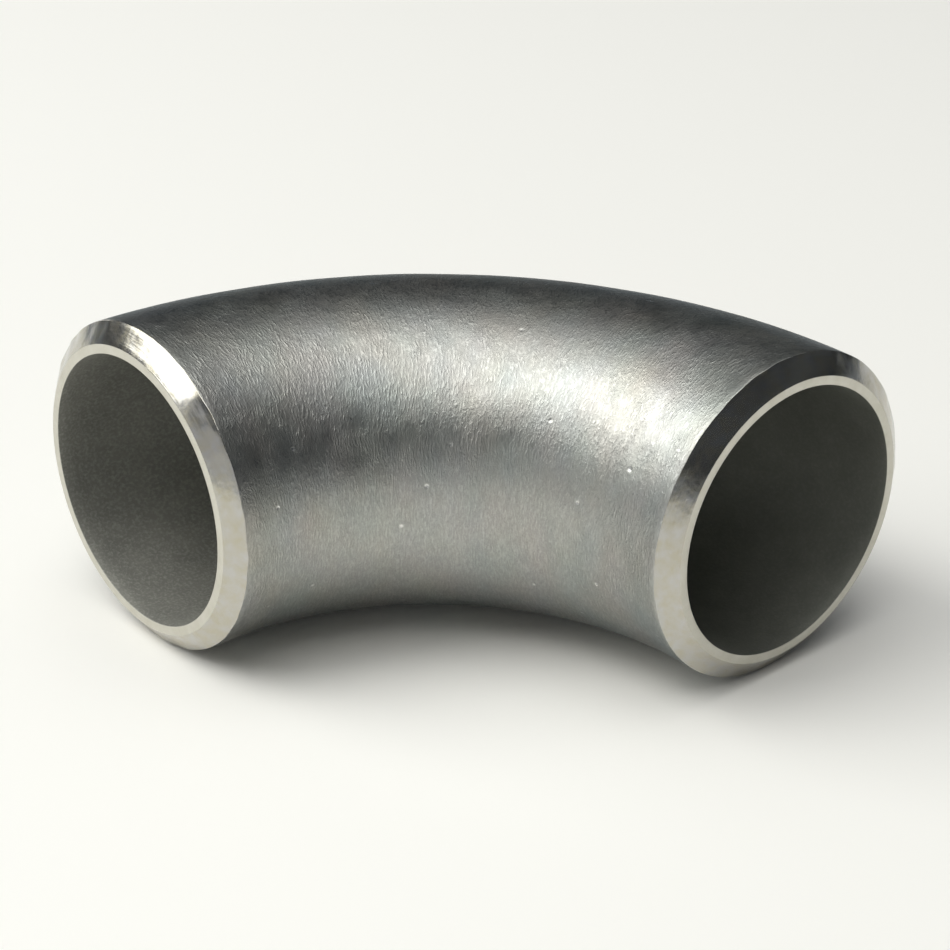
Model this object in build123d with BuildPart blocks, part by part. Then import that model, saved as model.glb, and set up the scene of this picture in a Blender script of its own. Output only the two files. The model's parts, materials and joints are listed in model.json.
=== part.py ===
from build123d import *

import math
import os

# 90 degree long-radius butt-weld pipe elbow, one seamless piece of stainless steel.
#
# Frame, in millimetres: the origin is the centre of the inlet's end face, which faces -Y.
# The bore runs along +Y, bends towards +X and leaves by the outlet, which faces +X. The
# bend's plane is level and +Z is up, so the elbow lies on its side at Z = -OUTER_RADIUS.

# ---- driving dimensions ----
OUTSIDE_DIAMETER = 57.0  # DN 50, in the 57 mm pipe series
WALL = 5.0
CENTRE_TO_END = 76.0  # from the crossing of the two centre lines to each end face
SIZED_END = 5.0  # straight, calibrated length at each end
ROOT_FACE = 1.6  # flat land left inside the weld bevel
BEVEL_ANGLE = 37.5  # weld bevel, in degrees from the plane of the end face
BEND_ANGLE = 90.0

# ---- worked out from them ----
OUTER_RADIUS = OUTSIDE_DIAMETER / 2
BORE_RADIUS = OUTER_RADIUS - WALL
BEND_RADIUS = CENTRE_TO_END - SIZED_END
BEVEL_HEIGHT = WALL - ROOT_FACE
BEVEL_LENGTH = BEVEL_HEIGHT * math.tan(math.radians(BEVEL_ANGLE))

BEND_AXIS = Axis((BEND_RADIUS, SIZED_END, 0), (0, 0, -1))
INLET = Plane.XZ
BEND_START = Plane.XZ.offset(-SIZED_END)
OUTLET = Plane(origin=(CENTRE_TO_END, CENTRE_TO_END, 0), x_dir=(0, 1, 0), z_dir=(1, 0, 0))


def ring():
    """The wall of the pipe, cut square."""
    Circle(OUTER_RADIUS)
    Circle(BORE_RADIUS, mode=Mode.SUBTRACT)


def make_elbow():
    """The bent pipe, with a straight, sized length and a weld bevel at each end."""
    with BuildPart() as elbow:
        with BuildSketch(BEND_START):
            ring()
        revolve(axis=BEND_AXIS, revolution_arc=BEND_ANGLE)
        for end in (INLET, OUTLET):
            with BuildSketch(end):
                ring()
            extrude(amount=-SIZED_END)
        end_faces = elbow.faces().filter_by(GeomType.PLANE)
        for face in end_faces:
            rim = face.edges().sort_by(SortBy.RADIUS)[-1]
            chamfer(rim, length=BEVEL_HEIGHT, length2=BEVEL_LENGTH, reference=face)
    return elbow


def main():
    os.makedirs("parts", exist_ok=True)
    elbow = make_elbow()
    elbow.part.label = "elbow_body"
    export_step(elbow.part, "parts/elbow_body.step")
    print("elbow_body", round(elbow.part.volume), "mm3, bevel", round(BEVEL_LENGTH, 2), "mm long")


main()
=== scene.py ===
import json
import math

import bmesh
import bpy
from mathutils import Matrix, Quaternion, Vector, noise


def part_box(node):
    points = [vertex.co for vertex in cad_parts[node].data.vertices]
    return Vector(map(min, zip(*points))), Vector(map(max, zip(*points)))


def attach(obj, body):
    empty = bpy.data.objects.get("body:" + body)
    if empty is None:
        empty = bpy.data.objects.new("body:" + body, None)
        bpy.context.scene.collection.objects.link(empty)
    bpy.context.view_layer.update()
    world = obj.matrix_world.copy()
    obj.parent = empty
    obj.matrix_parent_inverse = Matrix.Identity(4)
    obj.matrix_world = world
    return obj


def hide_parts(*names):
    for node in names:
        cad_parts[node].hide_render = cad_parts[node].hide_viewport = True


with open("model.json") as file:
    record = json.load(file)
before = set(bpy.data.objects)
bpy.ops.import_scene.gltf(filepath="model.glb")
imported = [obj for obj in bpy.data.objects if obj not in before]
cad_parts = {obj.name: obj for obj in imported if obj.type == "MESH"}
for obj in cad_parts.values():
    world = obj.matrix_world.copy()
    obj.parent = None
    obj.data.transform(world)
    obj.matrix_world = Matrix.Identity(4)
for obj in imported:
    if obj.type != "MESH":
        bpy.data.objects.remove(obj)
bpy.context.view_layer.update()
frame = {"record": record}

MM = 0.001

# ---- the elbow's sizes, from the frame ----
LOW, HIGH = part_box("elbow_body")
MOUNTS = {mount["name"]: mount for mount in frame["record"]["mounts"]}
BORE_RADIUS = MOUNTS["inlet_bore"]["dims"]["r_mm"] * MM
SIZED_END = MOUNTS["inlet_bore"]["dims"]["length_mm"] * MM  # straight length at each end
OUTER_RADIUS = HIGH.z
CENTRE_TO_END = HIGH.x
LAND_MIDDLE = MOUNTS["inlet_root_face"]["pos_m"][0]
LAND_RADIUS = 2 * LAND_MIDDLE - BORE_RADIUS  # outer edge of the flat root face
BEVEL_ANGLE = math.radians(37.5)  # weld bevel, from the plane of the end face
BEVEL_LENGTH = (OUTER_RADIUS - LAND_RADIUS) * math.tan(BEVEL_ANGLE)
BEND_RADIUS = CENTRE_TO_END - SIZED_END
BEND_ARC = BEND_RADIUS * math.pi / 2
PIPE_LENGTH = BEND_ARC + 2 * SIZED_END
BEND_CENTRE = Vector((BEND_RADIUS, SIZED_END, 0))
INLET = Vector((0, 0, 0))
OUTLET = Vector((CENTRE_TO_END, CENTRE_TO_END, 0))
MIDDLE = Vector(((LOW.x + HIGH.x) / 2, (LOW.y + HIGH.y) / 2, 0))

# ---- how finely the wall is divided ----
HOOP_SEGMENTS = 256
SKIN_STEPS = 150
BORE_STEPS = 100
SIZED_STEPS = 2
BEVEL_STEPS = 4
LAND_STEPS = 2
EDGE_STEPS = 3

# ---- the machined edges ----
EDGE_RADIUS = 0.12 * MM  # a deburring tool breaks them by this much
EDGE_ANGLE = math.radians(25)  # a corner sharper than this is a machined edge

# ---- how far the skin and the bevels are from perfect ----
WAVE = 9.0 * MM  # from one hollow of the formed skin to the next
WAVE_DEPTH = 0.13 * MM
WAVE_START = 16.0 * MM  # the waves are at full depth this far from an end
UNEVEN = 3.0 * MM  # the bevel's outer edge wanders over this length
UNEVEN_REACH = 0.22 * MM
THIN_BEVEL = 0.7 * MM  # how much shorter the outlet's bevel runs low on the inside of the bend
THIN_BEVEL_INLET = 0.35 * MM
THIN_SIDE = math.radians(25)  # how far below the inside of the bend it is shortest
TRUE_RIM = 0.3 * MM  # the bevel is left true this far out from the root face
OTHER_END = 5.0  # sets the outlet's unevenness apart from the inlet's

# ---- the sizes of the finishes' patterns ----
# The real grain, grit strokes and lathe rings are a few hundredths of a millimetre wide, which is
# too fine to show, so GRAIN, STREAK_WIDTH, RING_WIDTH and SPECK are drawn coarser than life.
STREAK_LENGTH = 1.3 * MM  # round the hoop
STREAK_WIDTH = 0.46 * MM  # along the pipe
STREAK_DEPTH = 0.043 * MM
FAINT_STREAK = 0.3  # the share of that depth where the grit hardly touched
SWIRL = 2.6 * MM  # the strokes lean one way and then the other over this length
SWIRL_REACH = 1.1 * MM
GRAIN = 0.4 * MM
GRAIN_DEPTH = 0.035 * MM
DIMPLE = 2.4 * MM
DIMPLE_DEPTH = 0.032 * MM
CLOUD = 5.0 * MM
TINT_PATCH = 12.0 * MM
NICK_SPACING = 5.0 * MM
NICK_STRETCH = 0.6  # a nick's width as a share of its length, which is along the pipe
NICK_RADIUS = 0.55 * MM
NICK_DEPTH = 0.08 * MM
RING_LENGTH = 6.0 * MM
RING_WIDTH = 0.25 * MM
RING_DEPTH = 0.012 * MM
RIPPLE = 3.0 * MM
RIPPLE_DEPTH = 0.07 * MM
STAIN = 2.5 * MM
FACED_DEPTH = 0.01 * MM
SPECK = 0.5 * MM
SPECK_DEPTH = 0.03 * MM

# ---- how smooth the finishes are, and how strongly their patterns show ----
SATIN_ROUGHNESS = (0.33, 0.41)  # from the smoothest cloudy patch to the roughest
STROKE_ROUGHNESS = -0.1  # added on a stroke, which is rubbed smoother
GROUND_ROUGHNESS = 0.03  # added everywhere on the skin
NICK_ROUGHNESS = 0.22
STROKE_SHADE = (0.93, 1.15)  # brightness between the strokes and on them
GRAIN_SHADE = (0.9, 1.09)
PLAY_OF_HUES = 0.07
TURNED_ROUGHNESS = (0.16, 0.24)  # clean metal, then stained
TURNED_SMEAR = 0.3  # how far the rings draw a highlight out across them
FACED_ROUGHNESS = 0.32
BORE_ROUGHNESS = 0.66
SPECKS_AT_INLET = 0.52  # how strongly the bore's specks show at each end; the outlet's are faded as part of its painted shade
SPECKS_AT_OUTLET = 0.1
TABLE_ROUGHNESS = 0.6

# ---- the finishes' colours ----
COOL_GREY = "#a3a7a6"
WARM_GREY = "#aaa79f"
OUTLINE_GREY = "#a6aeb6"
BARE_STEEL = "#e9e9e5"
TURNED_STEEL = "#bdbcb9"
TURNED_STAIN = "#b9b4a4"
FACED_STEEL = "#d6d4cc"
FACED_STAIN = "#bcb9ab"
INLET_BORE = ("#8c8d88", "#adaca5")
# painted shade: the outlet's bore greys are darker than the inlet's, standing in for the shade in the
# outlet's bore
OUTLET_BORE_SHADED = ("#80827b", "#969790")
BITTEN_STEEL = "#d3d3cb"
TABLE_WHITE = "#fbfaf6"

# ---- the finishes' places in the elbow's material slots ----
SKIN, BEVEL, LAND, BORE = range(4)

# ---- a Mix node's inputs and outputs, which share their names, by place ----
FACTOR = 0
NUMBER_A, NUMBER_B, NUMBER = 2, 3, 0
COLOUR_A, COLOUR_B, COLOUR = 6, 7, 2

# ---- the studio ----
FLOOR_REACH = 2.0
LIGHT_DISTANCE = 2.0
PALE_WALL = "#f0f0ec"
ROOM = (  # elevation in degrees, radiance, colour
    (0, 0.32, "#eef7ff"),
    (10, 0.01, "#eef7ff"),
    (25, 0.09, "#eef7ff"),
    (45, 0.03, "#eef7ff"),
    (70, 0.82, "#fdfeff"),
    (90, 2.8, "#fffffb"),
)

SOFTBOXES = (  # name, then azimuth, elevation, half width and half height in degrees, radiance, colour
    ("key_softbox", -40, 40.6, 25.8, 17.5, 3.2, "#fffffb"),
    ("upper_softbox", 0, 63.8, 30, 10.5, 2.6, "#fffffb"),
    ("left_softbox", -98, 8, 6, 6, 2.0, "#ffffff"),
    ("right_softbox", 6, 12, 59, 10, 0.47, "#ffffff"),
)

# ---- the camera ----
CAMERA_AZIMUTH = 49.18  # degrees
CAMERA_ELEVATION = 27.46  # degrees
CAMERA_ROLL = math.radians(0.69)
CAMERA_DISTANCE = 410.4 * MM
CAMERA_AIM = MIDDLE + Vector((2.05, -0.5, -3.6)) * MM
FOCAL_LENGTH = 91.1
SENSOR_WIDTH = 36.0


def linear(code):
    """The linear colour of an sRGB hex value."""
    parts = [int(code[i : i + 2], 16) / 255 for i in (1, 3, 5)]
    light = [c / 12.92 if c <= 0.04045 else ((c + 0.055) / 1.055) ** 2.4 for c in parts]
    return (*light, 1.0)


# ---- the bent wall ----
def loop_of(verts):
    """The edges that join these points to each other."""
    chosen = set(verts)
    touching = dict.fromkeys(e for v in verts for e in v.link_edges)
    return [e for e in touching if all(v in chosen for v in e.verts)]


def finish_new_faces(bm, known, finish):
    """Gives a finish to the faces made since the known ones."""
    for face in set(bm.faces) - known:
        face.material_index = finish


def carry_on(bm, rim, finish, centre, move, widen=1.0, steps=SIZED_STEPS):
    """Extrudes a ring of points: it ends up moved, and widened about its centre, after even steps."""
    known = set(bm.faces)
    for step in range(steps):
        before = 1 + (widen - 1) * step / steps
        after = 1 + (widen - 1) * (step + 1) / steps
        made = bmesh.ops.extrude_edge_only(bm, edges=loop_of(rim))["geom"]
        rim = [g for g in made if isinstance(g, bmesh.types.BMVert)]
        here = Matrix.Translation(-centre - move * step / steps)
        bmesh.ops.scale(bm, vec=(after / before,) * 3, space=here, verts=rim)
        bmesh.ops.translate(bm, vec=move / steps, verts=rim)
    finish_new_faces(bm, known, finish)
    return rim


def bend_on(bm, rim, finish, turn, steps):
    """Spins a ring of points round the bend's centre."""
    known = set(bm.faces)
    geom = rim + loop_of(rim)
    angle = math.radians(turn)
    made = bmesh.ops.spin(bm, geom=geom, cent=BEND_CENTRE, axis=(0, 0, -1), angle=angle, steps=steps)
    finish_new_faces(bm, known, finish)
    return [g for g in made["geom_last"] if isinstance(g, bmesh.types.BMVert)]


def make_wall():
    """One closed skin: up the inlet's bevel, round the bend, down the outlet's bevel and back inside."""
    along = Vector((0, 1, 0))
    out = Vector((1, 0, 0))
    sized = SIZED_END - BEVEL_LENGTH
    to_skin = OUTER_RADIUS / LAND_RADIUS
    to_bore = BORE_RADIUS / LAND_RADIUS
    bm = bmesh.new()
    facing = Matrix.Rotation(math.radians(90), 4, "X")
    first = bmesh.ops.create_circle(bm, segments=HOOP_SEGMENTS, radius=LAND_RADIUS, matrix=facing)["verts"]
    rim = carry_on(bm, first, BEVEL, INLET, along * BEVEL_LENGTH, to_skin, BEVEL_STEPS)
    rim = carry_on(bm, rim, SKIN, INLET, along * sized)
    rim = bend_on(bm, rim, SKIN, 90, SKIN_STEPS)
    rim = carry_on(bm, rim, SKIN, OUTLET, out * sized)
    shoulder = OUTLET - out * BEVEL_LENGTH
    rim = carry_on(bm, rim, BEVEL, shoulder, out * BEVEL_LENGTH, 1 / to_skin, BEVEL_STEPS)
    rim = carry_on(bm, rim, LAND, OUTLET, Vector(), to_bore, LAND_STEPS)
    rim = carry_on(bm, rim, BORE, OUTLET, -out * SIZED_END)
    rim = bend_on(bm, rim, BORE, -90, BORE_STEPS)
    rim = carry_on(bm, rim, BORE, INLET, -along * SIZED_END)
    rim = carry_on(bm, rim, LAND, INLET, Vector(), 1 / to_bore, LAND_STEPS)
    bmesh.ops.remove_doubles(bm, verts=rim + first, dist=0.01 * MM)
    bmesh.ops.recalc_face_normals(bm, faces=bm.faces)
    return bm


def break_edges(bm):
    """Rounds the machined edges a little, as a deburring pass leaves them."""
    sharp = [e for e in bm.edges if e.calc_face_angle(0) > EDGE_ANGLE]
    bmesh.ops.bevel(
        bm,
        geom=sharp,
        offset=EDGE_RADIUS,
        segments=EDGE_STEPS,
        profile=0.5,
        affect="EDGES",
        material=-1,
    )


def straightened(point):
    """Where a point would be in the same pipe laid straight along Y, and its outward and onward ways."""
    if point.x > BEND_RADIUS and point.y > BEND_RADIUS:
        side = point.y - CENTRE_TO_END
        along = SIZED_END + BEND_ARC + point.x - BEND_RADIUS
        level = Vector((0, 1, 0))
        onward = Vector((1, 0, 0))
    elif point.y < SIZED_END:
        side = -point.x
        along = point.y
        level = Vector((-1, 0, 0))
        onward = Vector((0, 1, 0))
    else:
        from_centre = Vector((point.x, point.y, 0)) - BEND_CENTRE
        turned = math.atan2(from_centre.y, -from_centre.x)
        side = from_centre.length - BEND_RADIUS
        along = SIZED_END + BEND_RADIUS * turned
        level = from_centre.normalized()
        onward = Vector((level.y, -level.x, 0))
    outward = (level * side + Vector((0, 0, point.z))).normalized()
    return Vector((side, along, point.z)), outward, onward


def smooth_step(low, high, value):
    """0 below low, 1 above high and an even S between."""
    t = min(max((value - low) / (high - low), 0.0), 1.0)
    return t * t * (3 - 2 * t)


def work_the_skin(bm):
    """Gives the formed skin its shallow waves, all inward, and lets the hand-dressed bevels run uneven."""
    for vert in bm.verts:
        place, outward, onward = straightened(vert.co)
        if math.hypot(place.x, place.z) < LAND_RADIUS + TRUE_RIM:
            continue
        from_end = min(place.y, PIPE_LENGTH - place.y)
        deep = (0.5 + 0.5 * noise.noise(place / WAVE)) * smooth_step(SIZED_END, WAVE_START, from_end)
        around = math.atan2(place.z, -place.x)  # 0 on the inside of the bend, a quarter turn on top
        at_outlet = place.y > PIPE_LENGTH / 2
        seed = Vector((math.cos(around), math.sin(around), OTHER_END * at_outlet)) * OUTER_RADIUS / UNEVEN
        thinnest = THIN_BEVEL if at_outlet else THIN_BEVEL_INLET
        thin = max(0.0, math.cos(around + THIN_SIDE)) ** 2 * thinnest
        run = noise.noise(seed) * UNEVEN_REACH - thin
        run *= smooth_step(0, BEVEL_LENGTH, from_end)
        run *= 1 - smooth_step(BEVEL_LENGTH, 2 * BEVEL_LENGTH, from_end)
        vert.co += onward * (-run if at_outlet else run) - outward * deep * WAVE_DEPTH


def make_elbow():
    """The elbow's body, with the attributes that its finishes follow."""
    bm = make_wall()
    break_edges(bm)
    work_the_skin(bm)
    pipe = bm.verts.layers.float_vector.new("straight_pipe")
    hoop = bm.verts.layers.float_vector.new("round_the_pipe")
    for vert in bm.verts:
        place, outward, onward = straightened(vert.co)
        vert[pipe] = place
        vert[hoop] = outward.cross(onward)
    for face in bm.faces:
        face.smooth = True
    mesh = bpy.data.meshes.new("elbow")
    bm.to_mesh(mesh)
    bm.free()
    elbow = bpy.data.objects.new("elbow", mesh)
    bpy.context.scene.collection.objects.link(elbow)
    return elbow


# ---- finishes ----
def add(tree, kind, feeds=None, **settings):
    """Adds a shader node, sets its properties and fills its inputs with values or links."""
    made = tree.nodes.new("ShaderNode" + kind)
    for name, value in settings.items():
        setattr(made, name, value)
    for socket, value in (feeds or {}).items():
        if isinstance(value, bpy.types.NodeSocket):
            tree.links.new(value, made.inputs[socket])
        else:
            made.inputs[socket].default_value = value
    return made


def start_material(name):
    """A new material with its node tree and its shader."""
    material = bpy.data.materials.new(name)
    material.use_nodes = True
    tree = material.node_tree
    return material, tree, tree.nodes["Principled BSDF"]


def pickled_stainless_steel():
    """The skin: hot formed, pickled and swept with grit round the pipe, which leaves a satin grey
    with short streaks round the hoop, a fine grain, cloudy patches and a few bright nicks."""
    material, tree, steel = start_material("pickled_stainless_steel")
    pipe = add(tree, "Attribute", attribute_name="straight_pipe").outputs["Vector"]

    # the streaks wander a little from the hoop, as grit does when it is swept by hand
    swirl = add(tree, "TexNoise", {"Vector": pipe, "Scale": 1 / SWIRL, "Detail": 1.0}).outputs["Color"]
    centred = add(tree, "VectorMath", {0: swirl, 1: (0.5, 0.5, 0.5)}, operation="SUBTRACT").outputs[0]
    pushed = {0: centred, 1: (SWIRL_REACH,) * 3, 2: pipe}
    swept = add(tree, "VectorMath", pushed, operation="MULTIPLY_ADD").outputs[0]
    streak_size = (1 / STREAK_LENGTH, 1 / STREAK_WIDTH, 1 / STREAK_LENGTH)
    streak_place = add(tree, "VectorMath", {0: swept, 1: streak_size}, operation="MULTIPLY").outputs[0]
    streaky = {"Vector": streak_place, "Scale": 1.0, "Detail": 3.0, "Roughness": 0.6}
    streaks = add(tree, "TexNoise", streaky).outputs["Fac"]
    # only the strongest strokes stand out from the plain satin
    strong = {"Value": streaks, "From Min": 0.4, "From Max": 0.72}
    stroke = add(tree, "MapRange", strong, interpolation_type="SMOOTHSTEP").outputs["Result"]

    grainy = {"Vector": swept, "Scale": 1 / GRAIN, "Detail": 2.0, "Roughness": 0.6}
    grain = add(tree, "TexNoise", grainy).outputs["Fac"]
    dimpled = {"Vector": pipe, "Scale": 1 / DIMPLE, "Detail": 1.0}
    dimples = add(tree, "TexNoise", dimpled).outputs["Fac"]
    cloudy = {"Vector": pipe, "Scale": 1 / CLOUD, "Detail": 4.0, "Roughness": 0.62}
    clouds = add(tree, "TexNoise", cloudy).outputs["Fac"]
    tint = add(tree, "TexNoise", {"Vector": pipe, "Scale": 1 / TINT_PATCH, "Detail": 3.0})

    # nicks from handling: one shows wherever the skin passes close to a point of a scattered pattern
    nick_size = (1 / NICK_SPACING, NICK_STRETCH / NICK_SPACING, 1 / NICK_SPACING)
    nick_place = add(tree, "VectorMath", {0: pipe, 1: nick_size}, operation="MULTIPLY").outputs[0]
    scattered = {"Vector": nick_place, "Scale": 1.0}
    nick_gap = add(tree, "TexVoronoi", scattered, feature="F1").outputs["Distance"]
    pressed = {"Value": nick_gap, "From Max": NICK_RADIUS / NICK_SPACING, "To Min": 1.0, "To Max": 0.0}
    nick = add(tree, "MapRange", pressed, interpolation_type="SMOOTHSTEP").outputs["Result"]

    # height, in metres: streaks, grain and dimples stand up, nicks are pressed in
    worked = {"Value": clouds, "From Min": 0.38, "From Max": 0.62}
    worked |= {"To Min": FAINT_STREAK * STREAK_DEPTH, "To Max": STREAK_DEPTH}
    depth = add(tree, "MapRange", worked).outputs["Result"]
    height = add(tree, "Math", {0: stroke, 1: depth}, operation="MULTIPLY").outputs[0]
    for pattern, stands in ((grain, GRAIN_DEPTH), (dimples, DIMPLE_DEPTH), (nick, -NICK_DEPTH)):
        height = add(tree, "Math", {0: pattern, 1: stands, 2: height}, operation="MULTIPLY_ADD").outputs[0]
    bump = add(tree, "Bump", {"Height": height, "Strength": 1.0, "Distance": 1.0})
    tree.links.new(bump.outputs["Normal"], steel.inputs["Normal"])

    # cloudy satin: the strokes and some patches are a little smoother, and the nicks are polished
    rubbing = {0: stroke, 1: STROKE_ROUGHNESS, 2: GROUND_ROUGHNESS}
    rubbed = add(tree, "Math", rubbing, operation="MULTIPLY_ADD").outputs[0]
    satin = {"Value": clouds, "From Min": 0.3, "From Max": 0.7}
    satin |= {"To Min": SATIN_ROUGHNESS[0], "To Max": SATIN_ROUGHNESS[1]}
    patchy = add(tree, "MapRange", satin).outputs["Result"]
    varied = add(tree, "Math", {0: rubbed, 1: patchy}, operation="ADD").outputs[0]
    polished = {FACTOR: nick, NUMBER_A: varied, NUMBER_B: NICK_ROUGHNESS}
    gloss = add(tree, "Mix", polished, data_type="FLOAT")
    tree.links.new(gloss.outputs[NUMBER], steel.inputs["Roughness"])

    # colour: warm and cool greys in broad patches, with a faint play of greenish and pinkish grey
    # from the acid, then darker between the strokes and brighter on specks and nicks
    greys = {FACTOR: tint.outputs["Fac"], COLOUR_A: linear(COOL_GREY), COLOUR_B: linear(WARM_GREY)}
    grey = add(tree, "Mix", greys, data_type="RGBA", clamp_factor=True).outputs[COLOUR]
    play = {FACTOR: PLAY_OF_HUES, COLOUR_A: grey, COLOUR_B: tint.outputs["Color"]}
    tinted = add(tree, "Mix", play, data_type="RGBA", blend_type="SOFT_LIGHT").outputs[COLOUR]
    shaded = {"Value": stroke, "To Min": STROKE_SHADE[0], "To Max": STROKE_SHADE[1]}
    shade = add(tree, "MapRange", shaded).outputs["Result"]
    speckled = {"Value": grain, "From Min": 0.3, "From Max": 0.7}
    speckled |= {"To Min": GRAIN_SHADE[0], "To Max": GRAIN_SHADE[1]}
    speckle = add(tree, "MapRange", speckled).outputs["Result"]
    worn = add(tree, "Math", {0: shade, 1: speckle}, operation="MULTIPLY").outputs[0]
    uneven = {FACTOR: 1.0, COLOUR_A: tinted, COLOUR_B: worn}
    skin = add(tree, "Mix", uneven, data_type="RGBA", blend_type="MULTIPLY").outputs[COLOUR]
    bare = {FACTOR: nick, COLOUR_A: skin, COLOUR_B: linear(BARE_STEEL)}
    colour = add(tree, "Mix", bare, data_type="RGBA").outputs[COLOUR]
    tree.links.new(colour, steel.inputs["Base Color"])

    steel.inputs["Metallic"].default_value = 1.0
    # the skin goes a little darker and cooler towards its outline
    steel.inputs["Specular Tint"].default_value = linear(OUTLINE_GREY)
    return material


def turned_stainless_steel():
    """The bevel: cut in a lathe, so it is bright, with fine rings that smear its highlights across it
    and a slight ripple that bends the edges of what it reflects."""
    material, tree, steel = start_material("turned_stainless_steel")
    pipe = add(tree, "Attribute", attribute_name="straight_pipe").outputs["Vector"]
    hoop = add(tree, "Attribute", attribute_name="round_the_pipe").outputs["Vector"]

    # height, in metres: the tool's rings, then the ripple
    ring_size = (1 / RING_LENGTH, 1 / RING_WIDTH, 1 / RING_LENGTH)
    ring_place = add(tree, "VectorMath", {0: pipe, 1: ring_size}, operation="MULTIPLY").outputs[0]
    ringed = {"Vector": ring_place, "Scale": 1.0, "Detail": 2.0, "Roughness": 0.6}
    rings = add(tree, "TexNoise", ringed).outputs["Fac"]
    rippled = {"Vector": pipe, "Scale": 1 / RIPPLE, "Detail": 2.0, "Roughness": 0.5}
    ripple = add(tree, "TexNoise", rippled).outputs["Fac"]
    ring_lift = add(tree, "Math", {0: rings, 1: RING_DEPTH}, operation="MULTIPLY").outputs[0]
    lifted = {0: ripple, 1: RIPPLE_DEPTH, 2: ring_lift}
    height = add(tree, "Math", lifted, operation="MULTIPLY_ADD").outputs[0]
    bump = add(tree, "Bump", {"Height": height, "Strength": 1.0, "Distance": 1.0})
    tree.links.new(bump.outputs["Normal"], steel.inputs["Normal"])

    # colour and gloss: small straw-coloured, duller stains from handling
    spread = {"Vector": pipe, "Scale": 1 / STAIN, "Detail": 4.0, "Roughness": 0.65}
    stain = add(tree, "TexNoise", spread).outputs["Fac"]
    edged = {"Value": stain, "From Min": 0.35, "From Max": 0.65}
    stained = add(tree, "MapRange", edged).outputs["Result"]
    metal = {FACTOR: stained, COLOUR_A: linear(TURNED_STEEL), COLOUR_B: linear(TURNED_STAIN)}
    colour = add(tree, "Mix", metal, data_type="RGBA").outputs[COLOUR]
    tree.links.new(colour, steel.inputs["Base Color"])
    dulled = {"Value": stain, "From Min": 0.3, "From Max": 0.7}
    dulled |= {"To Min": TURNED_ROUGHNESS[0], "To Max": TURNED_ROUGHNESS[1]}
    gloss = add(tree, "MapRange", dulled).outputs["Result"]
    tree.links.new(gloss, steel.inputs["Roughness"])

    tree.links.new(hoop, steel.inputs["Tangent"])
    steel.inputs["Anisotropic"].default_value = TURNED_SMEAR
    steel.inputs["Metallic"].default_value = 1.0
    return material


def faced_stainless_steel():
    """The root face: faced off square and touched up by hand, so it is bright and slightly grained."""
    material, tree, steel = start_material("faced_stainless_steel")
    pipe = add(tree, "Attribute", attribute_name="straight_pipe").outputs["Vector"]
    grainy = {"Vector": pipe, "Scale": 1 / GRAIN, "Detail": 3.0, "Roughness": 0.6}
    grain = add(tree, "TexNoise", grainy).outputs["Fac"]
    bump = add(tree, "Bump", {"Height": grain, "Strength": 1.0, "Distance": FACED_DEPTH})
    tree.links.new(bump.outputs["Normal"], steel.inputs["Normal"])
    spread = {"Vector": pipe, "Scale": 1 / STAIN, "Detail": 4.0, "Roughness": 0.65}
    stain = add(tree, "TexNoise", spread).outputs["Fac"]
    metal = {FACTOR: stain, COLOUR_A: linear(FACED_STEEL), COLOUR_B: linear(FACED_STAIN)}
    colour = add(tree, "Mix", metal, data_type="RGBA").outputs[COLOUR]
    tree.links.new(colour, steel.inputs["Base Color"])
    steel.inputs["Metallic"].default_value = 1.0
    steel.inputs["Roughness"].default_value = FACED_ROUGHNESS
    return material


def pickled_bore_steel():
    """The bore: pickled only, so it is dull and dark, with pale specks where the acid bit."""
    material, tree, steel = start_material("pickled_bore_steel")
    pipe = add(tree, "Attribute", attribute_name="straight_pipe").outputs["Vector"]
    cloudy = {"Vector": pipe, "Scale": 1 / CLOUD, "Detail": 4.0, "Roughness": 0.65}
    clouds = add(tree, "TexNoise", cloudy).outputs["Fac"]
    specked = {"Vector": pipe, "Scale": 1 / SPECK, "Detail": 2.0, "Roughness": 0.6}
    specks = add(tree, "TexNoise", specked).outputs["Fac"]

    # painted shade: the bore's colour is darker towards the outlet and its specks fainter there, standing
    # in for the shade in the outlet's bore, which gets less light than the inlet's
    far = add(tree, "SeparateXYZ", {"Vector": pipe}).outputs["Y"]
    reach = {"Value": far, "From Min": 0.25 * BEND_ARC, "From Max": 0.75 * BEND_ARC}
    darker = add(tree, "MapRange", reach, interpolation_type="SMOOTHSTEP").outputs["Result"]
    inlet_end = {FACTOR: clouds, COLOUR_A: linear(INLET_BORE[0]), COLOUR_B: linear(INLET_BORE[1])}
    outlet_end = {FACTOR: clouds, COLOUR_A: linear(OUTLET_BORE_SHADED[0]), COLOUR_B: linear(OUTLET_BORE_SHADED[1])}
    pale = add(tree, "Mix", inlet_end, data_type="RGBA").outputs[COLOUR]
    dark = add(tree, "Mix", outlet_end, data_type="RGBA").outputs[COLOUR]
    both = {FACTOR: darker, COLOUR_A: pale, COLOUR_B: dark}
    grey = add(tree, "Mix", both, data_type="RGBA").outputs[COLOUR]

    bitten = {"Value": specks, "From Min": 0.45, "From Max": 0.8}
    etched = add(tree, "MapRange", bitten).outputs["Result"]
    # painted shade: the same mask fades the specks towards the outlet
    showing = {FACTOR: darker, NUMBER_A: SPECKS_AT_INLET, NUMBER_B: SPECKS_AT_OUTLET}
    strength = add(tree, "Mix", showing, data_type="FLOAT").outputs[NUMBER]
    shown = add(tree, "Math", {0: etched, 1: strength}, operation="MULTIPLY").outputs[0]
    bright = {FACTOR: shown, COLOUR_A: grey, COLOUR_B: linear(BITTEN_STEEL)}
    colour = add(tree, "Mix", bright, data_type="RGBA").outputs[COLOUR]
    tree.links.new(colour, steel.inputs["Base Color"])
    bump = add(tree, "Bump", {"Height": specks, "Strength": 1.0, "Distance": SPECK_DEPTH})
    tree.links.new(bump.outputs["Normal"], steel.inputs["Normal"])
    steel.inputs["Metallic"].default_value = 1.0
    steel.inputs["Roughness"].default_value = BORE_ROUGHNESS
    return material


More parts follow.
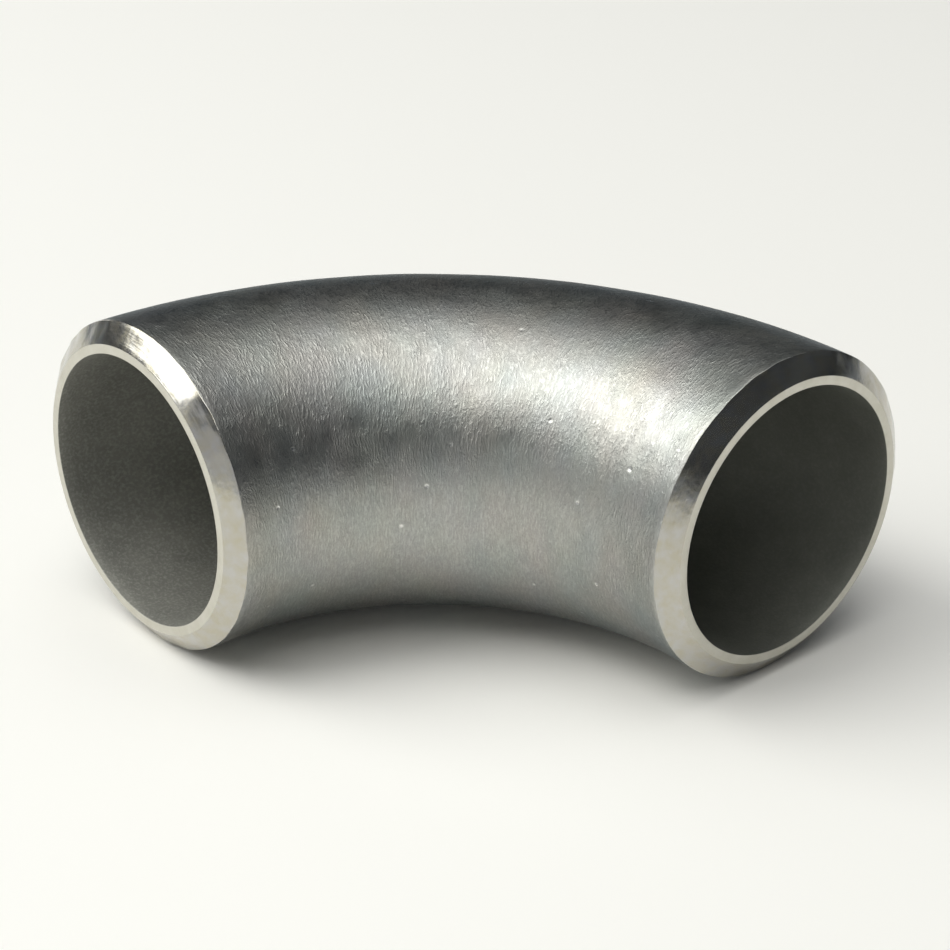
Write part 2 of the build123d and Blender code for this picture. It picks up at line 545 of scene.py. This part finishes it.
# ---- studio ----
def white_table():
    """The floor: a table laminated in matt white, a shade warm."""
    material, _, laminate = start_material("white_table")
    laminate.inputs["Base Color"].default_value = linear(TABLE_WHITE)
    laminate.inputs["Roughness"].default_value = TABLE_ROUGHNESS
    return material


def make_floor():
    """A plain level floor that the elbow lies on."""
    bm = bmesh.new()
    bmesh.ops.create_grid(bm, x_segments=1, y_segments=1, size=FLOOR_REACH)
    bmesh.ops.translate(bm, vec=(MIDDLE.x, MIDDLE.y, LOW.z), verts=bm.verts)
    mesh = bpy.data.meshes.new("floor")
    bm.to_mesh(mesh)
    bm.free()
    mesh.materials.append(white_table())
    floor = bpy.data.objects.new("floor", mesh)
    bpy.context.scene.collection.objects.link(floor)


def direction(azimuth, elevation):
    """The way out from the elbow, for angles in degrees: azimuth 0 is -Y and 90 is +X."""
    az = math.radians(azimuth)
    el = math.radians(elevation)
    return Vector((math.sin(az) * math.cos(el), -math.cos(az) * math.cos(el), math.sin(el)))


def softbox(name, azimuth, elevation, half_width, half_height, radiance, code):
    """A rectangular light that faces the elbow: the half sizes are the angles that it fills, in degrees."""
    width = 2 * LIGHT_DISTANCE * math.tan(math.radians(half_width))
    height = 2 * LIGHT_DISTANCE * math.tan(math.radians(half_height))
    light = bpy.data.lights.new(name, "AREA")
    light.shape = "RECTANGLE"
    light.size = width
    light.size_y = height
    light.energy = radiance * math.pi * width * height
    light.color = linear(code)[:3]
    lamp = bpy.data.objects.new(name, light)
    towards = direction(azimuth, elevation)
    lamp.location = MIDDLE + towards * LIGHT_DISTANCE
    lamp.rotation_mode = "QUATERNION"
    lamp.rotation_quaternion = (-towards).to_track_quat("-Z", "Y")
    bpy.context.scene.collection.objects.link(lamp)


def make_world():
    """The room: bright overhead, dim at the sides and a little lighter at the horizon."""
    world = bpy.data.worlds.new("studio")
    world.use_nodes = True
    tree = world.node_tree
    where = add(tree, "TexCoord").outputs["Generated"]
    height = add(tree, "SeparateXYZ", {"Vector": where}).outputs["Z"]
    ramp = add(tree, "ValToRGB", {"Fac": height})
    stops = ramp.color_ramp.elements
    for i, (elevation, radiance, code) in enumerate(ROOM):
        at = math.sin(math.radians(elevation))
        stop = stops[i] if i < len(stops) else stops.new(at)
        stop.position = at
        stop.color = [radiance * c for c in linear(code)]
    # straight to the camera the room is one pale wall
    seen = add(tree, "LightPath").outputs["Is Camera Ray"]
    walls = {FACTOR: seen, COLOUR_A: ramp.outputs["Color"], COLOUR_B: linear(PALE_WALL)}
    room = add(tree, "Mix", walls, data_type="RGBA").outputs[COLOUR]
    tree.links.new(room, tree.nodes["Background"].inputs["Color"])
    bpy.context.scene.world = world


def make_camera():
    """A long lens that looks down at the inside of the bend, with both ends in view."""
    lens = bpy.data.cameras.new("camera")
    lens.sensor_width = SENSOR_WIDTH
    lens.lens = FOCAL_LENGTH
    lens.clip_start = 0.01
    lens.clip_end = 20
    camera = bpy.data.objects.new("camera", lens)
    back = direction(CAMERA_AZIMUTH, CAMERA_ELEVATION)
    camera.location = CAMERA_AIM + back * CAMERA_DISTANCE
    camera.rotation_mode = "QUATERNION"
    camera.rotation_quaternion = (-back).to_track_quat("-Z", "Y") @ Quaternion((0, 0, 1), CAMERA_ROLL)
    bpy.context.scene.collection.objects.link(camera)
    bpy.context.scene.camera = camera


elbow = make_elbow()
elbow.data.materials.append(pickled_stainless_steel())
elbow.data.materials.append(turned_stainless_steel())
elbow.data.materials.append(faced_stainless_steel())
elbow.data.materials.append(pickled_bore_steel())
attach(elbow, "root")
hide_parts("elbow_body")

make_floor()
make_world()
for box in SOFTBOXES:
    softbox(*box)
make_camera()
bpy.context.scene.view_settings.view_transform = "Standard"
